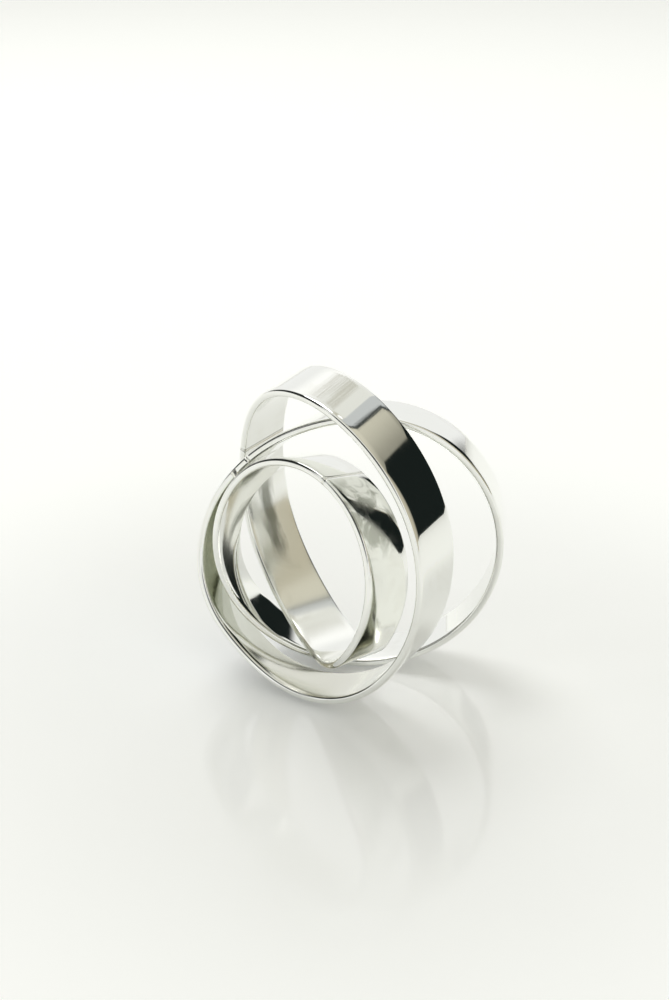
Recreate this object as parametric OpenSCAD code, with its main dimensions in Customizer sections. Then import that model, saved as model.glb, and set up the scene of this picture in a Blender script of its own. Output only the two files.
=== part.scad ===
// Finger ring made of one flat silver strip, wound round three times and joined
// end to end, so that it has no beginning and no end. The turns are of different
// sizes and lie at different angles. They are soldered together where they touch.
//
// Frame: +Z up, the ring standing on a table (Z = 0), X to the right, Y away from
// the front. The origin is under the middle of the ring's box. The finger goes
// through the finger loop roughly along Y.
//
// The winding angle counts clockwise, seen from the front, from the top of the
// front hoop. Three turns, 1080 degrees, bring it back to where it began.

/* [Strip] */
// Width of the flat strip
strip_w = 5; // [4:0.1:5.2]
// Thickness of the strip
strip_t = 0.65; // [0.5:0.05:0.7]
// Rounding that polishing leaves on the strip's four edges
edge_r = 0.12; // [0.05:0.01:0.2]

/* [Finger loop] */
// Inside diameter of the loop that the finger goes through
finger_d = 16.7; // [16.5:0.1:16.9]
// Centre of the finger loop
finger_at = [-1.3, -4.7, 12]; // [-20:0.1:20]
// Swing to the right and upward tip of the finger loop's axis
finger_axis = [13, -7]; // [-45:1:45]
// The same two angles for the way the strip's width lies
finger_face = [10, -11]; // [-45:1:45]

/* [Front hoop] */
// Radius of the large front hoop, at its top and right side
front_r = 13.5; // [13.4:0.1:13.6]
// Centre of the front hoop
front_at = [-3.1, -5, 13.3]; // [-20:0.1:20]
// Swing and tip of the front hoop's axis
front_axis = [-2, -3]; // [-45:1:45]
// Swing and tip of the strip's width on the front hoop
front_face = [3, 8]; // [-45:1:45]

/* [Front sweep, from the hoop's foot up its left side] */
// Radius of the sweep
sweep_r = 9.5; // [9.4:0.1:9.6]
// Centre of the sweep
sweep_at = [-2.4, -2, 10.5]; // [-20:0.1:20]
// Swing and tip of the sweep's axis
sweep_axis = [-8, -16]; // [-45:1:45]
// Swing and tip of the strip's width on the sweep
sweep_face = [0, -22]; // [-45:1:45]

/* [Back hoop] */
// Radius of the back hoop
back_r = 12.1; // [12:0.1:12.2]
// Centre of the back hoop
back_at = [-0.1, 1.5, 12.5]; // [-20:0.1:20]
// Swing and tip of the back hoop's axis
back_axis = [-26, 5]; // [-45:1:45]
// Swing and tip of the strip's width on the back hoop
back_face = [-24, -2]; // [-45:1:45]

/* [Rise, from under the finger up the rear to the front hoop's top] */
// Radius of the rise
rise_r = 11.7; // [11.6:0.1:11.8]
// Centre of the rise
rise_at = [0.7, 2.9, 14.8]; // [-20:0.1:20]
// Swing and tip of the rise's axis
rise_axis = [2, -1]; // [-45:1:45]
// Swing and tip of the strip's width on the rise
rise_face = [14, 12]; // [-45:1:45]

/* [Joints] */
// Width of the solder line in each of the three butt joints
seam_w = 0.15; // [0.1:0.05:0.3]
// Radius of the solder beads where two turns touch
bead_r = 0.4; // [0.35:0.05:0.5]

/* [Hidden] */

silver = [0.86, 0.86, 0.84];
solder = [0.76, 0.75, 0.71];

full = 1080;          // three turns
ring_step = 4;        // winding angle between two cross-sections
slope_step = 1;       // winding angle used to find the strip's direction
finger_r = (finger_d + strip_t) / 2;

// Each stretch: radius, centre, axis, face, the winding angle at which it takes
// over from the one before, and how far the change spreads to each side.
STRETCHES = [
    [front_r, front_at, front_axis, front_face, -20, 90],
    [sweep_r, sweep_at, sweep_axis, sweep_face, 175, 55],
    [back_r, back_at, back_axis, back_face, 325, 80],
    [finger_r, finger_at, finger_axis, finger_face, 635, 80],
    [rise_r, rise_at, rise_axis, rise_face, 905, 85]
];
count = len(STRETCHES);

// Winding angles of the three butt joints
left_joint = 320;
loop_joint = 740;
rear_joint = 1010;

// Places where two turns touch: winding angle and distance across the width
left_touch = [[312, -2.3], [666, -1.8]];
side_touch = [[272, 2.1], [619, 2.1]];

// Half the strip's section, in steps across its width and through its thickness
half_w = strip_w / 2;
half_t = strip_t / 2;
SECTION = [
    [-half_w, -half_t + edge_r], [-half_w, half_t - edge_r],
    [-half_w + edge_r, half_t], [half_w - edge_r, half_t],
    [half_w, half_t - edge_r], [half_w, -half_t + edge_r],
    [half_w - edge_r, -half_t], [-half_w + edge_r, -half_t]
];

function unit(v) = v / norm(v);
function clamp(u) = min(1, max(0, u));
// Runs from 0 to 1 with no corner in slope or bend
function ease(u) = let (s = clamp(u)) s * s * s * (s * (6 * s - 15) + 10);
// Direction that starts along Y, swings to the right and tips up
function heading(turn) = [sin(turn[0]) * cos(turn[1]), cos(turn[0]) * cos(turn[1]), sin(turn[1])];

// Point of one stretch's own circle
function on_circle(s, a) =
    let (side = [cos(s[2][0]), -sin(s[2][0]), 0], up = cross(side, heading(s[2])))
    s[1] + s[0] * (sin(a) * side + cos(a) * up);

// How much a stretch shapes the strip at a winding angle
function taken(s, a) = ease((a - s[4]) / (2 * s[5]) + 0.5);
function share(i, a) =
    let (this = STRETCHES[i], next = STRETCHES[(i + 1) % count], wrap = i == count - 1 ? full : 0)
    taken(this, a) * (1 - taken(next, a - wrap));
function shares(a) =
    [for (i = [0:count - 1]) share(i, a) + share(i, a - full) + share(i, a + full)];
function total(list, i = 0) = i == len(list) - 1 ? list[i] : list[i] + total(list, i + 1);

// Middle line of the strip, its direction, the way of its width and its outer side
function middle(a) =
    let (w = shares(a)) total([for (i = [0:count - 1]) w[i] * on_circle(STRETCHES[i], a)]) / total(w);
function along(a) = unit(middle(a + slope_step) - middle(a - slope_step));
function across(a) =
    let (w = shares(a), t = along(a), v = total([for (i = [0:count - 1]) w[i] * heading(STRETCHES[i][3])]))
    unit(v - (v * t) * t);

// Point at the strip's surface: x across its width, y outwards through its thickness
function on_strip(a, p) =
    let (v = across(a)) middle(a) + p[0] * v + p[1] * cross(along(a), v);

// Solid length of strip from one winding angle to another
module strip(from, to) {
    steps = max(1, ceil((to - from) / ring_step));
    sides = len(SECTION);
    points = [for (k = [0:steps], p = SECTION) on_strip(from + (to - from) * k / steps, p)];
    walls = [for (k = [0:steps - 1], i = [0:sides - 1])
        let (j = (i + 1) % sides, a = k * sides + i, b = k * sides + j, c = b + sides, d = a + sides)
        each [[a, b, c], [a, c, d]]];
    start = [for (i = [1:sides - 2]) [0, i + 1, i]];
    last = steps * sides;
    end = [for (i = [1:sides - 2]) [last, last + i, last + i + 1]];
    polyhedron(points = points, faces = concat(start, walls, end), convexity = 10);
}

// Winding angle that a solder line covers on a hoop of this radius
function seam_angle(r) = seam_w / r * 180 / PI;
left_gap = seam_angle(back_r);
loop_gap = seam_angle(finger_r);
rear_gap = seam_angle(rise_r);

// From the rear joint over the top, down the right side, and up the left side
module front_strip() {
    color(silver) strip(rear_joint + rear_gap / 2, full + left_joint - left_gap / 2);
}

// Round the back hoop and on into the finger loop, up to its top
module back_strip() {
    color(silver) strip(left_joint + left_gap / 2, loop_joint - loop_gap / 2);
}

// Down the finger loop's right side, under the finger and up the rear
module finger_strip() {
    color(silver) strip(loop_joint + loop_gap / 2, rear_joint - rear_gap / 2);
}

// Butt joint, a thin slice of solder
module seam(at, gap) {
    color(solder) strip(at - gap / 2, at + gap / 2);
}

// Bead of solder between two places on the strip, each a winding angle and a
// distance across the width
module bead(one, other) {
    color(solder)
        translate((on_strip(one[0], [one[1], 0]) + on_strip(other[0], [other[1], 0])) / 2)
            sphere(r = bead_r, $fn = 32);
}

front_strip();
back_strip();
finger_strip();
seam(left_joint, left_gap);  // seam_left
seam(loop_joint, loop_gap);  // seam_loop
seam(rear_joint, rear_gap);  // seam_rear
bead(left_touch[0], left_touch[1]);  // solder_left
bead(side_touch[0], side_touch[1]);  // solder_side
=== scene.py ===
import math
import random

import bpy
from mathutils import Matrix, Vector


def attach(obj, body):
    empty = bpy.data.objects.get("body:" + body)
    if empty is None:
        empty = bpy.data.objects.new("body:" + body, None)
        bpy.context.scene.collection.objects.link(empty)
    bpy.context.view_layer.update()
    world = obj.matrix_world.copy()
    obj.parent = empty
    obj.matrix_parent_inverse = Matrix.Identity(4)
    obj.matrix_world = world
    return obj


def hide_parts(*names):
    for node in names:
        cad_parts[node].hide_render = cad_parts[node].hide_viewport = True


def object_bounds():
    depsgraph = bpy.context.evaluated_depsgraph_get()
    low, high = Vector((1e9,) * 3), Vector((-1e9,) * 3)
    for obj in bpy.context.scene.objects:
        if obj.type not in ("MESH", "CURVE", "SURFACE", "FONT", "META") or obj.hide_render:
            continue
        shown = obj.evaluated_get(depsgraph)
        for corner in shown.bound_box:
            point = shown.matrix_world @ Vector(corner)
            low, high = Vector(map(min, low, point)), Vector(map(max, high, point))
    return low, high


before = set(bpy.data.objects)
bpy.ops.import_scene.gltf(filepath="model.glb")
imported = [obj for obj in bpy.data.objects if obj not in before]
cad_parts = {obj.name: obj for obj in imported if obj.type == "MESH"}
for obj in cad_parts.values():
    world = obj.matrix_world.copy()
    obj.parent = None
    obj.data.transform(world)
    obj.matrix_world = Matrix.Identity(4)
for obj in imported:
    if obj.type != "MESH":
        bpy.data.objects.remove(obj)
cad_low, cad_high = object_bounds()

# Finger ring of one flat silver strip, wound round three times and joined end to
# end. Lengths of the ring are in millimetres until MM turns them into metres.
MM = 0.001

# ---------------------------------------------------------------------------
# The strip and its path. Width, thickness, path and joints have the CAD part's
# numbers. The edges are rounder here and the faces have a slight crown.
# ---------------------------------------------------------------------------
STRIP_WIDTH = 5.0
STRIP_THICKNESS = 0.65
EDGE_ROUNDING = 0.22
FACE_CROWN = 0.012
SLOPE_STEP = 0.5
FINGER_DIAMETER = 16.7
SEAM_WIDTH = 0.15
FULL = 1080.0

# radius, centre, axis swing and tip, width swing and tip, winding angle where the
# stretch takes over from the one before, and how far the change spreads
STRETCHES = [
    (13.5, (-3.1, -5.0, 13.3), (-2, -3), (3, 8), -20, 90),
    (9.5, (-2.4, -2.0, 10.5), (-8, -16), (0, -22), 175, 55),
    (12.1, (-0.1, 1.5, 12.5), (-26, 5), (-24, -2), 325, 80),
    ((FINGER_DIAMETER + STRIP_THICKNESS) / 2, (-1.3, -4.7, 12.0), (13, -7), (10, -11), 635, 80),
    (11.7, (0.7, 2.9, 14.8), (2, -1), (14, 12), 905, 85),
]
LEFT_JOINT = 320.0
LOOP_JOINT = 740.0
REAR_JOINT = 1010.0
LEFT_TOUCH = ((312, -2.3), (666, -1.8))
SIDE_TOUCH = ((272, 2.1), (619, 2.1))


def ease(u):
    s = min(1.0, max(0.0, u))
    return s * s * s * (s * (6 * s - 15) + 10)


def heading(turn):
    swing, tip = math.radians(turn[0]), math.radians(turn[1])
    return Vector((math.sin(swing) * math.cos(tip), math.cos(swing) * math.cos(tip), math.sin(tip)))


def on_circle(stretch, angle):
    radius, centre, axis = stretch[:3]
    swing, a = math.radians(axis[0]), math.radians(angle)
    side = Vector((math.cos(swing), -math.sin(swing), 0))
    up = side.cross(heading(axis))
    return Vector(centre) + radius * (math.sin(a) * side + math.cos(a) * up)


def share(i, angle):
    this, following = STRETCHES[i], STRETCHES[(i + 1) % len(STRETCHES)]
    wrap = FULL if i == len(STRETCHES) - 1 else 0
    taken = ease((angle - this[4]) / (2 * this[5]) + 0.5)
    given = ease((angle - wrap - following[4]) / (2 * following[5]) + 0.5)
    return taken * (1 - given)


def shares(angle):
    laps = (angle, angle - FULL, angle + FULL)
    return [sum(share(i, lap) for lap in laps) for i in range(len(STRETCHES))]


def middle(angle):
    parts = shares(angle)
    point = Vector((0, 0, 0))
    for part, stretch in zip(parts, STRETCHES):
        point += part * on_circle(stretch, angle)
    return point / sum(parts)


def strip_axes(angle):
    """Middle of the strip, the way along it, the way across it and its outer side."""
    centre = middle(angle)
    along = (middle(angle + SLOPE_STEP) - middle(angle - SLOPE_STEP)).normalized()
    lean = Vector((0, 0, 0))
    for part, stretch in zip(shares(angle), STRETCHES):
        lean += part * heading(stretch[3])
    across = (lean - lean.dot(along) * along).normalized()
    return centre, along, across, along.cross(across)


def on_strip(angle, across_by):
    centre, _, across, _ = strip_axes(angle)
    return centre + across_by * across


# ---------------------------------------------------------------------------
# Meshes
# ---------------------------------------------------------------------------
def polished_section(width, thickness, rounding, crown, face_steps=10, corner_steps=5):
    """Outline of the strip: flat faces with a slight crown, and soft corners."""
    half_w, half_t = width / 2, thickness / 2
    flat_w, flat_t = half_w - rounding, half_t - rounding
    points = []
    for corner, (sx, sy) in enumerate([(1, 1), (-1, 1), (-1, -1), (1, -1)]):
        for k in range(corner_steps + 1):
            a = math.radians(90 * corner + 90 * k / corner_steps)
            points.append((sx * flat_w + rounding * math.cos(a), sy * flat_t + rounding * math.sin(a)))
        if corner in (0, 2):
            for k in range(1, face_steps):
                x = sx * flat_w * (1 - 2 * k / face_steps)
                points.append((x, sy * half_t))
    # the faces keep their full thickness in the middle and thin towards the edges
    return [(x, y - math.copysign(crown, y) * (x / half_w) ** 2) for x, y in points]


def new_piece(name, points, faces, material, smooth=True):
    mesh = bpy.data.meshes.new(name)
    mesh.from_pydata([tuple(p * MM) for p in points], [], faces)
    mesh.validate()
    mesh.update()
    if smooth:
        mesh.polygons.foreach_set("use_smooth", [True] * len(mesh.polygons))
    piece = bpy.data.objects.new(name, mesh)
    bpy.context.scene.collection.objects.link(piece)
    mesh.materials.append(material)
    return piece


def tube_faces(levels, around):
    """Walls between rings of points, and a face at each end."""
    faces = []
    for k in range(levels):
        for i in range(around):
            j = (i + 1) % around
            faces.append((k * around + i, k * around + j, (k + 1) * around + j, (k + 1) * around + i))
    faces.append(tuple(reversed(range(around))))
    faces.append(tuple(levels * around + i for i in range(around)))
    return faces


def sweep(name, start, stop, section, material, step=1.0):
    """Solid length of strip between two winding angles. It carries two UV maps: how far
    along and across the strip a point is, and its winding angle and depth."""
    rings = max(2, math.ceil((stop - start) / step))
    sides = len(section)
    points, angles, lengths = [], [], []
    length, before = 0.0, None
    for k in range(rings + 1):
        angle = start + (stop - start) * k / rings
        centre, _, across, outward = strip_axes(angle)
        length += 0 if before is None else (centre - before).length
        before = centre
        angles.append(angle)
        lengths.append(length)
        for x, y in section:
            points.append(centre + x * across + y * outward)
    piece = new_piece(name, points, tube_faces(rings, sides), material)
    for end_face in piece.data.polygons[-2:]:
        end_face.use_smooth = False
    lay = piece.data.uv_layers.new(name="lay")
    depth = piece.data.uv_layers.new(name="depth")
    for loop in piece.data.loops:
        ring, spot = divmod(loop.vertex_index, sides)
        x, y = section[spot]
        lay.data[loop.index].uv = (lengths[ring], x)
        depth.data[loop.index].uv = (angles[ring], y)
    return piece


def solder_neck(name, one, other, waist, flare, material, seed):
    """Small waisted fillet of solder that joins two turns, wider where it wets them."""
    rng = random.Random(seed)
    foot, head = on_strip(*one), on_strip(*other)
    axis = (head - foot).normalized()
    side = axis.orthogonal().normalized()
    third = axis.cross(side)
    centre, reach = (foot + head) / 2, (head - foot).length / 2 + 0.05
    levels, around = 12, 28
    wobble = [rng.uniform(-0.03, 0.03) for _ in range(around)]
    points = []
    for k in range(levels + 1):
        t = 2 * k / levels - 1
        radius = waist + (flare - waist) * abs(t) ** 2.4
        for i in range(around):
            a = 2 * math.pi * i / around
            r = radius + wobble[i] * (0.4 + abs(t)) + wobble[i - 1] * 0.5
            points.append(centre + t * reach * axis + r * (math.cos(a) * side + math.sin(a) * third))
    return new_piece(name, points, tube_faces(levels, around), material)


# ---------------------------------------------------------------------------
# Shader maths
# ---------------------------------------------------------------------------
class Wire:
    """A node's output. Sums, products and powers of wires add Math nodes."""

    def __init__(self, bench, socket):
        self.bench = bench
        self.socket = socket

    def combine(self, operation, *parts):
        return self.bench.add("ShaderNodeMath", {"operation": operation}, dict(enumerate(parts)))

    def __add__(self, other):
        return self.combine("ADD", self, other)

    def __sub__(self, other):
        return self.combine("SUBTRACT", self, other)

    def __rsub__(self, other):
        return self.combine("SUBTRACT", other, self)

    def __mul__(self, other):
        return self.combine("MULTIPLY", self, other)

    def __pow__(self, other):
        return self.combine("POWER", self, other)

    def __abs__(self):
        return self.combine("ABSOLUTE", self)

    __radd__ = __add__
    __rmul__ = __mul__


class Bench:
    """A node tree being built."""

    def __init__(self, tree):
        self.tree = tree
        tree.nodes.clear()

    def node(self, kind, settings=None, inputs=None):
        node = self.tree.nodes.new(kind)
        for name, value in (settings or {}).items():
            setattr(node, name, value)
        for key, value in (inputs or {}).items():
            if isinstance(value, Wire):
                self.tree.links.new(value.socket, node.inputs[key])
            else:
                node.inputs[key].default_value = value
        return node

    def add(self, kind, settings=None, inputs=None, output=0):
        """A node, for the sake of one of its outputs."""
        return Wire(self, self.node(kind, settings, inputs).outputs[output])

    def step(self, value, start, stop):
        """0 below start, 1 above stop, and a soft change between."""
        settings = {"interpolation_type": "SMOOTHSTEP"}
        inputs = {"Value": value, "From Min": start, "From Max": stop}
        return self.add("ShaderNodeMapRange", settings, inputs)

    def band(self, value, low, high, soft):
        """1 between low and high."""
        return self.step(value, low - soft, low + soft) * (1 - self.step(value, high - soft, high + soft))

    def mix(self, factor, first, second):
        """Colour between two colours."""
        settings = {"data_type": "RGBA"}
        return self.add("ShaderNodeMix", settings, {0: factor, 6: first, 7: second}, output=2)

    def noise(self, place, scale, detail=2.0, rough=0.5, warp=0.0):
        settings = {"noise_dimensions": "3D"}
        inputs = {"Vector": place, "Scale": scale, "Detail": detail, "Roughness": rough, "Distortion": warp}
        return self.add("ShaderNodeTexNoise", settings, inputs)

    def stretched(self, place, scale):
        return self.add("ShaderNodeMapping", {"vector_type": "POINT"}, {"Vector": place, "Scale": scale})

    def parts(self, vector):
        node = self.node("ShaderNodeSeparateXYZ", None, {0: vector})
        return [Wire(self, socket) for socket in node.outputs]


def new_material(name):
    material = bpy.data.materials.new(name)
    material.use_nodes = True
    return material, Bench(material.node_tree)


BRIGHT_SILVER = (0.88, 0.885, 0.855, 1)
DULL_SILVER = (0.83, 0.83, 0.79, 1)
# painted dark reflection, laid over the rubbed patch outside the finger loop
PAINTED_DARK_REFLECTION = (0.38, 0.39, 0.34, 1)
# painted dark reflection: the streak inside the rise
PAINTED_STREAK_REFLECTION = (0.24, 0.245, 0.21, 1)
# darker, warmer tone inside the front turn by its foot
FOOT_INSIDE_SILVER = (0.72, 0.715, 0.64, 1)
PALE_SOLDER = (0.85, 0.845, 0.80, 1)
GREY_SOLDER = (0.77, 0.76, 0.69, 1)


def polished_silver():
    """Bright hand-polished silver: buffing lines along the strip, a slight waviness from
    hammering it round, and edges a little duller than the faces. The finger loop is rubbed
    outside, near its top, where its darker colour is a painted dark reflection, and has file ticks on its
    front rim, at the left. The inside of the rise is dull and carries a dark streak, a painted reflection,
    and the inside by the foot is darker and warmer in tone. Bands of winding
    angle and of width say where."""
    material, b = new_material("polished_silver")
    lay = b.add("ShaderNodeUVMap", {"uv_map": "lay"})
    depth = b.add("ShaderNodeUVMap", {"uv_map": "depth"})
    _, across, _ = b.parts(lay)
    angle, level, _ = b.parts(depth)
    place = b.add("ShaderNodeTexCoord", output=3)

    on_rim = b.step(abs(across), 2.36, 2.47)
    outside = b.step(level, 0.1, 0.2)
    inside = (1 - b.step(level, -0.2, -0.1)) * (1 - on_rim)
    rear_inside = inside * b.band(angle, 895, 1045, 12)
    # inside of the front turn by its foot: darker, warmer in tone and rougher
    foot_inside = inside * b.band(angle, 1215, 1285, 28)
    buffing = b.noise(b.stretched(lay, (0.9, 26.0, 1.0)), 1.0, 3.0, 0.6, 0.3)
    hairlines = b.step(b.noise(b.stretched(lay, (0.28, 17.0, 1.0)), 1.0, 2.0, 0.5, 0.6), 0.66, 0.74)
    patches = b.step(b.noise(place, 260.0, 3.0, 0.6, 0.4), 0.5, 0.68)
    near_rim = 1 - b.step(across, -2.42, -2.3)
    ticks = b.step(b.noise(b.stretched(lay, (9.0, 1.2, 1.0)), 1.0, 2.0, 0.6), 0.6, 0.7)
    filed = near_rim * b.band(angle, 596, 694, 8) * ticks
    # rub marks outside the finger loop: rougher, with hairlines; the patch also carries a painted dark
    # reflection
    rubbed_and_dark_reflection = b.band(angle, 745, 786, 6) * outside * b.step(b.noise(lay, 0.55, 3.0, 0.6, 0.8), 0.4, 0.62)
    waves = b.noise(place, 120.0, 1.0, 0.4)

    height = 0.02 * buffing - 0.9 * filed + 0.1 * hairlines * (0.25 + rubbed_and_dark_reflection) + 4.0 * waves
    bump = b.add("ShaderNodeBump", None, {"Strength": 0.35, "Distance": 0.00002, "Height": height})
    tone = b.mix(0.6 * patches, BRIGHT_SILVER, DULL_SILVER)
    # painted dark reflection over the rubbed patch
    tone = b.mix(0.8 * rubbed_and_dark_reflection, tone, PAINTED_DARK_REFLECTION)
    # dark streak inside the rise: a painted reflection
    drift = b.noise(b.stretched(lay, (0.5, 2.0, 1.0)), 1.0, 2.0, 0.5) - 0.5
    reflection_streak = b.band(across + 1.2 * drift, -0.75, 0.45, 0.45) * b.band(angle, 955, 990, 7) * rear_inside
    tone = b.mix(0.9 * reflection_streak, tone, PAINTED_STREAK_REFLECTION)
    tone = b.mix(foot_inside, tone, FOOT_INSIDE_SILVER)

    roughness = 0.035 + 0.02 * buffing + 0.03 * patches + 0.05 * hairlines + 0.05 * on_rim
    roughness = roughness + 0.11 * rubbed_and_dark_reflection + 0.13 * rear_inside + 0.1 * foot_inside
    shader = b.add(
        "ShaderNodeBsdfPrincipled",
        None,
        {"Base Color": tone, "Metallic": 1.0, "Roughness": roughness, "Normal": bump},
    )
    b.node("ShaderNodeOutputMaterial", None, {"Surface": shader})
    return material


def polished_solder():
    """Hard solder, a little greyer than the strip, with fine grain and pits."""
    material, b = new_material("polished_solder")
    place = b.add("ShaderNodeTexCoord", output=3)
    grain = b.noise(place, 9000.0, 3.0, 0.6)
    pits = b.step(b.noise(place, 14000.0, 1.0, 0.5), 0.62, 0.72)
    tone = b.mix(grain, PALE_SOLDER, GREY_SOLDER)
    height = grain - 1.5 * pits
    roughness = 0.07 + 0.08 * grain + 0.15 * pits
    bump = b.add("ShaderNodeBump", None, {"Strength": 0.2, "Distance": 0.00002, "Height": height})
    shader = b.add(
        "ShaderNodeBsdfPrincipled",
        None,
        {"Base Color": tone, "Metallic": 1.0, "Roughness": roughness, "Normal": bump},
    )
    b.node("ShaderNodeOutputMaterial", None, {"Surface": shader})
    return material


# ---------------------------------------------------------------------------
# The ring
# ---------------------------------------------------------------------------
silver = polished_silver()
solder = polished_solder()

strip_outline = polished_section(STRIP_WIDTH, STRIP_THICKNESS, EDGE_ROUNDING, FACE_CROWN)


def half_gap(radius):
    """Half the winding angle that a solder line covers on a turn of this radius."""
    return math.degrees(SEAM_WIDTH / radius) / 2


left_gap = half_gap(STRETCHES[2][0])
loop_gap = half_gap(STRETCHES[3][0])
rear_gap = half_gap(STRETCHES[4][0])

TURNS = [
    ("front_turn", "front_strip", REAR_JOINT + rear_gap, FULL + LEFT_JOINT - left_gap),
    ("back_turn", "back_strip", LEFT_JOINT + left_gap, LOOP_JOINT - loop_gap),
    ("finger_turn", "finger_strip", LOOP_JOINT + loop_gap, REAR_JOINT - rear_gap),
]
for piece_name, node, start, stop in TURNS:
    turn = sweep(piece_name, start, stop, strip_outline, silver)
    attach(turn, "root")
    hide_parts(node)

SEAMS = [
    ("left_seam", "seam_left", LEFT_JOINT, left_gap),
    ("loop_seam", "seam_loop", LOOP_JOINT, loop_gap),
    ("rear_seam", "seam_rear", REAR_JOINT, rear_gap),
]
for piece_name, node, at, gap in SEAMS:
    seam = sweep(piece_name, at - gap, at + gap, strip_outline, solder, step=gap)
    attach(seam, "root")
    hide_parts(node)

FIRST_SEED = 40
# name, node, where the turns touch, radius at the waist and where it wets the strip
NECKS = [
    ("left_fillet", "solder_left", LEFT_TOUCH, 0.3, 0.42),
    ("side_fillet", "solder_side", SIDE_TOUCH, 0.3, 0.4),
]
for number, (piece_name, node, touch, waist, flare) in enumerate(NECKS):
    neck = solder_neck(piece_name, touch[0], touch[1], waist, flare, solder, FIRST_SEED + number)
    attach(neck, "root")
    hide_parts(node)


# ---------------------------------------------------------------------------
# Table, light and camera
# ---------------------------------------------------------------------------
TABLE_REACH = 2500
# distances from the middle of the table, in metres
GLOSS_ENDS = 0.02
FROST_STARTS = 0.06
# painted glow of the table: no lamp behind it; it lifts the sheet and thins the shadows
PAINTED_GLOW = (0.99, 1.0, 0.99, 1)


def white_table():
    """White acrylic sheet, glossy near the ring and frosted further out. It glows faintly:
    painted light with no lamp behind it, which lifts the sheet and thins its shadows."""
    material, b = new_material("white_acrylic")
    place = b.add("ShaderNodeTexCoord", output=3)
    haze = b.noise(place, 30.0, 2.0)
    glossy = b.add(
        "ShaderNodeBsdfPrincipled",
        None,
        {
            "Base Color": (0.945, 0.955, 0.945, 1),
            "Roughness": 0.07 + 0.04 * haze,
            "IOR": 1.49,
            "Emission Color": PAINTED_GLOW,
            "Emission Strength": 0.13,
        },
    )
    frosted = b.add(
        "ShaderNodeBsdfPrincipled",
        None,
        {
            "Base Color": (0.965, 0.975, 0.965, 1),
            "Roughness": 0.9,
            "IOR": 1.1,
            "Emission Color": PAINTED_GLOW,
            "Emission Strength": 0.27,
        },
    )
    x, y, _ = b.parts(place)
    away = (x * x + y * y) ** 0.5
    frosting = b.step(away, GLOSS_ENDS, FROST_STARTS)
    shader = b.add("ShaderNodeMixShader", None, {0: frosting, 1: glossy, 2: frosted})
    b.node("ShaderNodeOutputMaterial", None, {"Surface": shader})
    top = cad_low.z / MM
    corners = [(-1, -1), (1, -1), (1, 1), (-1, 1)]
    points = [Vector((TABLE_REACH * cx, TABLE_REACH * cy, top)) for cx, cy in corners]
    table = new_piece("table", points, [(0, 1, 2, 3)], material, smooth=False)


WHITE_CLOTH = (0.95, 0.955, 0.94, 1)
CREAM_CLOTH = (0.84, 0.845, 0.79, 1)
LIT_CLOTH = (1.15, 1.15, 1.13, 1)
CEILING = (0.60, 0.585, 0.49, 1)
FOLD_SHADE = (0.45, 0.43, 0.34, 1)
GREY_FLAP = (0.60, 0.62, 0.62, 1)
LOW_SHADE = (0.30, 0.29, 0.235, 1)
HIGH_SHADE = (0.70, 0.67, 0.55, 1)
WARM_SIDE = (0.56, 0.52, 0.40, 1)
DARK_HEM = (0.06, 0.065, 0.06, 1)
BRIGHT_SPOT = (1.3, 1.3, 1.27, 1)
DARK_ROOM = (0.010, 0.014, 0.013, 1)
DARK_GAP = (0.02, 0.022, 0.02, 1)
BACKDROP = (1.0, 1.0, 0.99, 1)


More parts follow.
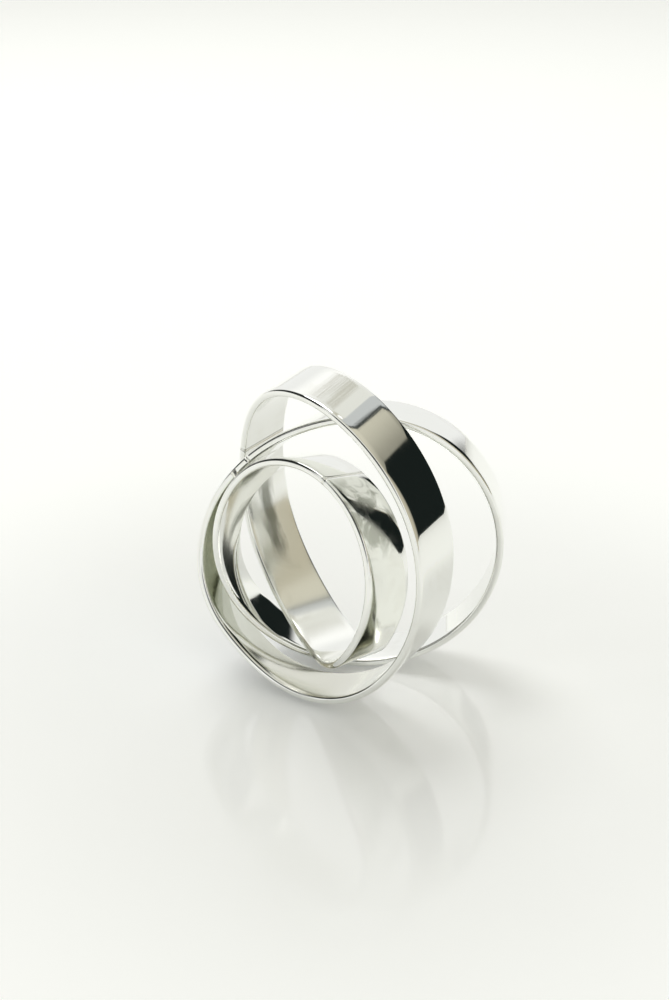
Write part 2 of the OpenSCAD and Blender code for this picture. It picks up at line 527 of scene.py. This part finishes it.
def studio():
    """White tent round the table, open to a dark room at the right rear, with a warm side.
    Bearings turn from the rear, 0, to the right, 90, and rises go up from the horizon,
    both in degrees."""
    world = bpy.data.worlds.new("tent")
    bpy.context.scene.world = world
    world.use_nodes = True
    b = Bench(world.node_tree)
    towards = b.add("ShaderNodeTexCoord", output=0)
    x, y, z = b.parts(towards)
    bearing = x.combine("ARCTAN2", x, y) * math.degrees(1)
    rise = z.combine("ARCSINE", z) * math.degrees(1)
    ragged = b.noise(towards, 70.0, 5.0, 0.75) - 0.5
    wall = b.mix(b.step(rise, 30, 56), WHITE_CLOTH, CREAM_CLOTH)
    key = b.band(bearing, -50, -16, 8) * b.band(rise, 24, 40, 8)
    wall = b.mix(key, wall, LIT_CLOTH)
    ceiling = b.step(rise, 54.5, 57) * b.band(bearing, -15, 60, 5)
    wall = b.mix(ceiling, wall, CEILING)
    fold = b.band(bearing - 1.3 * rise + 42 * ragged, -85, -79, 1.5) * b.band(bearing, -36, -15, 3)
    wall = b.mix(0.6 * fold, wall, FOLD_SHADE)
    flap = b.band(bearing + 5 * ragged, 0, 16, 0.6) * b.band(rise, 36, 75, 2)
    wall = b.mix(flap, wall, GREY_FLAP)
    brown = b.band(bearing, 14.5, 100, 1.2) * (1 - b.step(rise, 72, 84))
    shade = b.mix(b.step(rise, 36, 56), LOW_SHADE, HIGH_SHADE)
    shade = b.mix(b.step(bearing, 48, 58), shade, WARM_SIDE)
    wall = b.mix(brown, wall, shade)
    hem = b.band(bearing + 15 * ragged, 12.0, 16.2, 0.8) * b.band(rise, 36, 75, 2)
    wall = b.mix(hem, wall, DARK_HEM)
    spot = (bearing + 4.0) ** 2.0 * 0.27 + (rise - 58.5) ** 2.0
    wall = b.mix(1 - b.step(spot, 1.5, 7), wall, BRIGHT_SPOT)
    opening = b.band(bearing, -4.5, 51, 1.5) * (1 - b.step(rise, 37.2, 38.4))
    wall = b.mix(opening, wall, DARK_ROOM)
    left_slit = b.band(bearing, -132, -60, 4) * b.band(rise, 4, 64, 3)
    front_slit = b.step(abs(bearing), 138, 146) * b.band(rise, 12, 50, 4)
    wall = b.mix(left_slit + front_slit, wall, DARK_GAP)
    # past the table the camera sees plain white: the tent gives light and reflections
    seen = b.add("ShaderNodeLightPath", output=0)
    wall = b.mix(seen, wall, BACKDROP)
    shader = b.add("ShaderNodeBackground", None, {"Color": wall, "Strength": 1.0})
    b.node("ShaderNodeOutputWorld", None, {"Surface": shader})


# Lamp and camera: places and what each looks at, in millimetres
LAMP_AT = (-220, 160, 500)
LAMP_AIM = (0, 0, 10)
LAMP_ACROSS = 300
LAMP_WATTS = 0.9
CAMERA_AT = (62.277, -106.387, 69.628)
CAMERA_AIM = (-20.4256, 31.2546, 0.0)
LENS = 57.423
SENSOR_WIDTH = 36.0
CLIP_START = 5
CLIP_END = 20000


def stand(name, data, at, aim):
    """Puts a lamp or a camera in place and turns it to look at a point."""
    thing = bpy.data.objects.new(name, data)
    bpy.context.scene.collection.objects.link(thing)
    thing.location = Vector(at) * MM
    thing.rotation_mode = "QUATERNION"
    thing.rotation_quaternion = ((Vector(aim) - Vector(at)) * MM).to_track_quat("-Z", "Y")
    return thing


def key_lamp():
    data = bpy.data.lights.new("key_lamp", "AREA")
    data.shape = "DISK"
    data.size = LAMP_ACROSS * MM
    data.energy = LAMP_WATTS
    stand("key_lamp", data, LAMP_AT, LAMP_AIM)


def camera():
    data = bpy.data.cameras.new("camera")
    data.sensor_width = SENSOR_WIDTH
    data.lens = LENS
    data.clip_start = CLIP_START * MM
    data.clip_end = CLIP_END * MM
    bpy.context.scene.camera = stand("camera", data, CAMERA_AT, CAMERA_AIM)


white_table()
studio()
key_lamp()
camera()
bpy.context.scene.view_settings.view_transform = "Standard"
bpy.context.scene.cycles.max_bounces = 24
bpy.context.scene.cycles.glossy_bounces = 20
